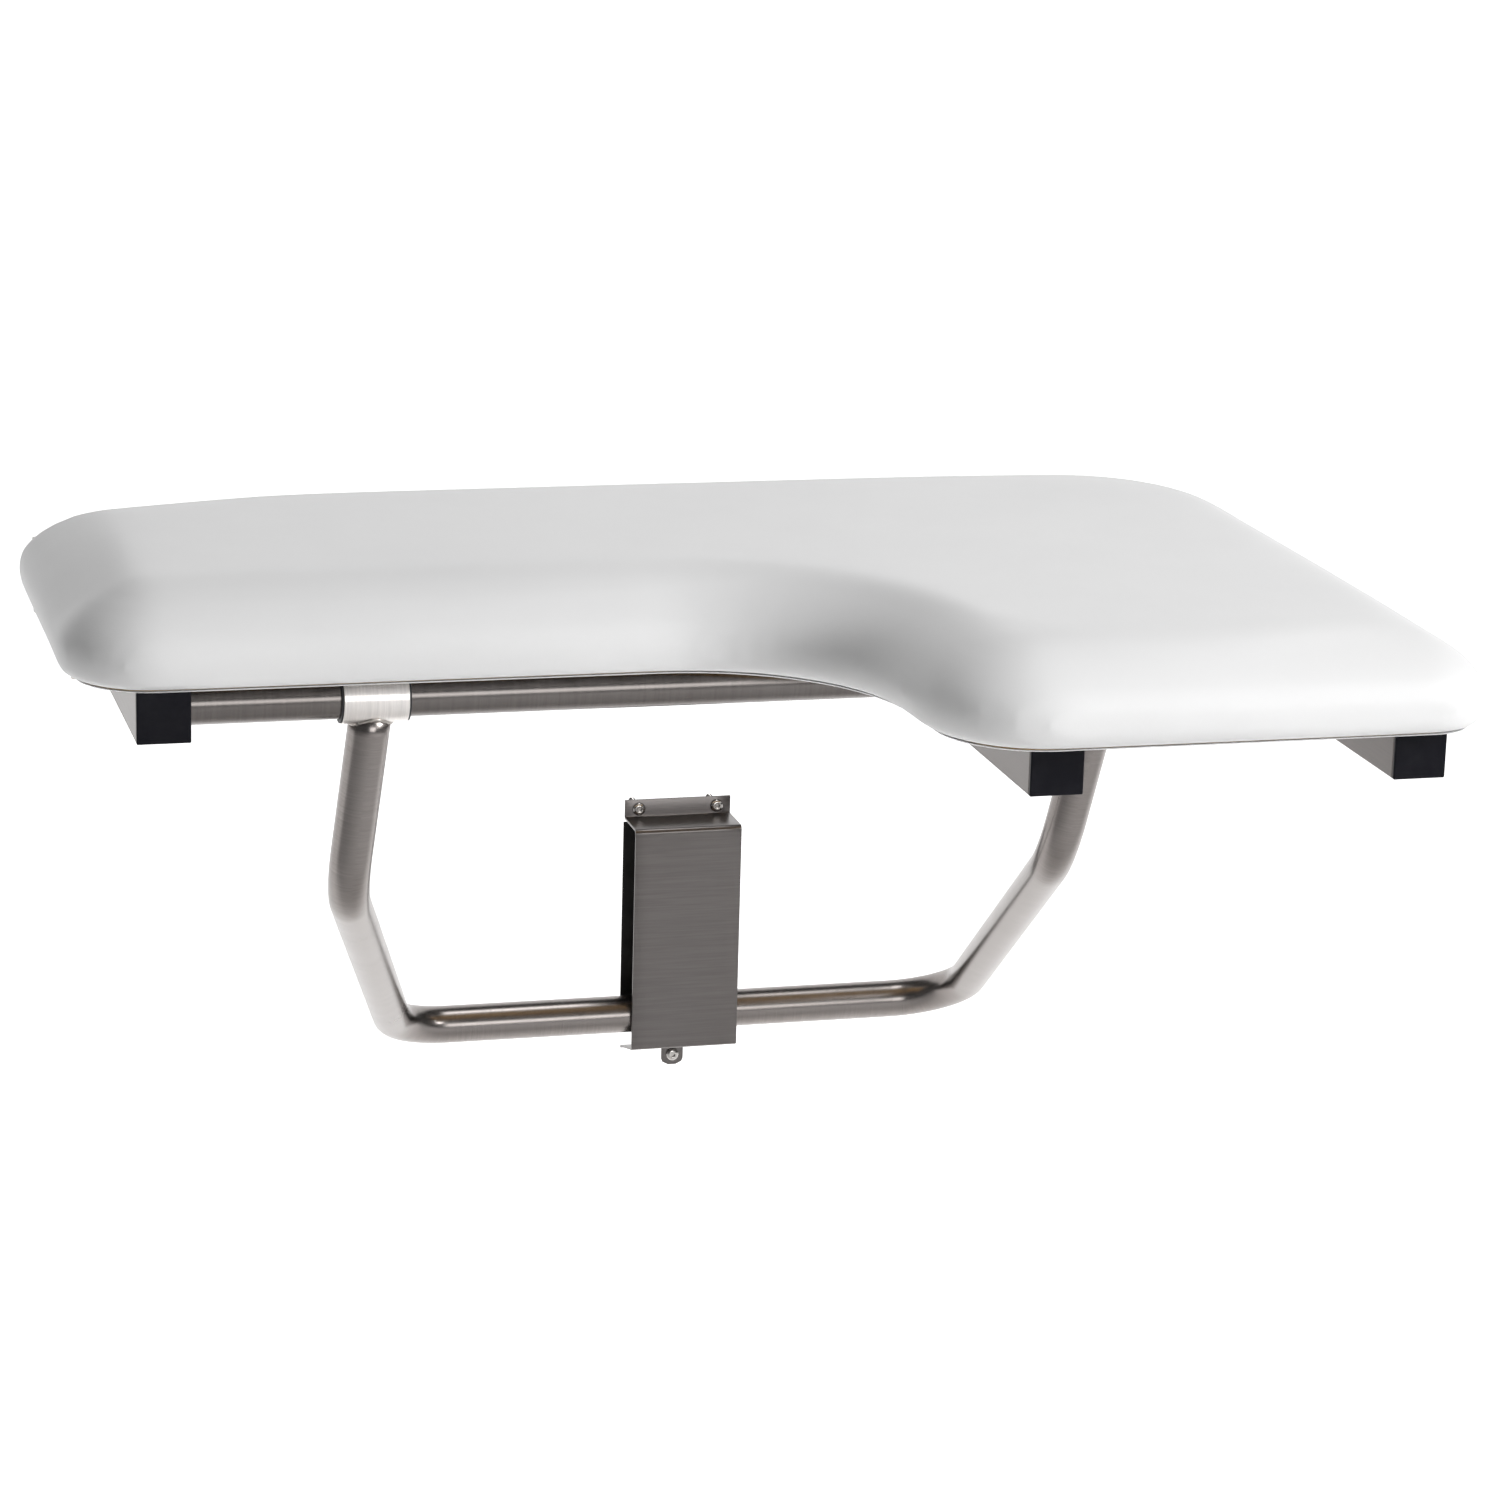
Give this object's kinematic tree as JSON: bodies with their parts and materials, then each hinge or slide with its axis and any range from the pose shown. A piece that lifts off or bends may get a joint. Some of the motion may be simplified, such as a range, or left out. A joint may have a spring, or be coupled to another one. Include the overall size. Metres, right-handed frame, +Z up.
{
  "type": "wall-mounted folding shower seat",
  "caption": "L-shaped padded shower seat that folds up against the wall on square rails, with a swing-down tube leg running in a wall guide.",
  "frame": {"origin": "centre of the left hinge bracket's four wall holes, on the wall face", "axes": "+X along the wall towards the long side of the seat, +Y into the wall, +Z up"},
  "size_m": [0.801, 0.6152, 0.4308],
  "materials": {
    "bracket_steel": "brushed stainless steel, cut and bent plate",
    "bolt_steel": "plain stainless fasteners",
    "nylon": "natural nylon",
    "rail_steel": "brushed stainless square tube",
    "tube_steel": "satin brushed stainless round tube",
    "cap_plastic": "black moulded plastic, smooth",
    "board": "sealed plywood",
    "vinyl": "white marine vinyl, matte with a fine grain",
    "bush_plastic": "dark nylon",
    "guide_steel": "brushed stainless sheet, grain across the front",
    "liner_plastic": "black low-friction plastic",
    "screw_steel": "stainless, bright"
  },
  "bodies": {
    "wall_side": {"left_wall_bracket": "bracket_steel", "middle_wall_bracket": "bracket_steel", "right_wall_bracket": "bracket_steel", "hinge_bolts": "bolt_steel", "hinge_nuts": "bolt_steel"},
    "seat": {"hinge_bushings": "nylon", "left_rail": "rail_steel", "middle_rail": "rail_steel", "right_rail": "rail_steel", "cross_tube": "tube_steel", "left_end_cap": "cap_plastic", "middle_end_cap": "cap_plastic", "right_end_cap": "cap_plastic", "rear_end_caps": "cap_plastic", "seat_board": "board", "seat_cushion": "vinyl", "board_screws": "bolt_steel", "board_tee_nuts": "bolt_steel"},
    "leg": {"leg_tube": "tube_steel", "left_sleeve": "tube_steel", "right_sleeve": "tube_steel", "left_sleeve_bushings": "bush_plastic", "right_sleeve_bushings": "bush_plastic"},
    "glide": {"bar_glide": "nylon"},
    "guide": {"guide_cover": "guide_steel", "guide_liner": "liner_plastic", "liner_rivets": "screw_steel", "guide_top_screws": "screw_steel", "guide_tab_screw": "screw_steel"}
  },
  "joints": [
    {"name": "seat_fold", "type": "hinge", "parent": "wall_side", "child": "seat", "pos_m": [0, -0.084, -0.00813], "axis": [-1, 0, 0], "range_deg": [0, 90]},
    {"name": "leg_swing", "type": "hinge", "parent": "seat", "child": "leg", "pos_m": [0, -0.338, -0.00213], "axis": [1, 0, 0], "range_deg": [0, 52.4]},
    {"name": "glide_turn", "type": "hinge", "parent": "leg", "child": "glide", "pos_m": [0.399, -0.0177, -0.31853], "axis": [1, 0, 0], "range_deg": [0, 37.7]},
    {"name": "guide_slide", "type": "slide", "parent": "glide", "child": "guide", "axis": [0, 0, -1], "range_m": [0, 0.1185]}
  ],
  "couplings": [
    {"joint": "leg_swing", "follows": "seat_fold", "ratio": 0.58162},
    {"joint": "glide_turn", "follows": "seat_fold", "ratio": 0.41838},
    {"joint": "guide_slide", "follows": "seat_fold", "m_per_rad": 0.075269}
  ]
}
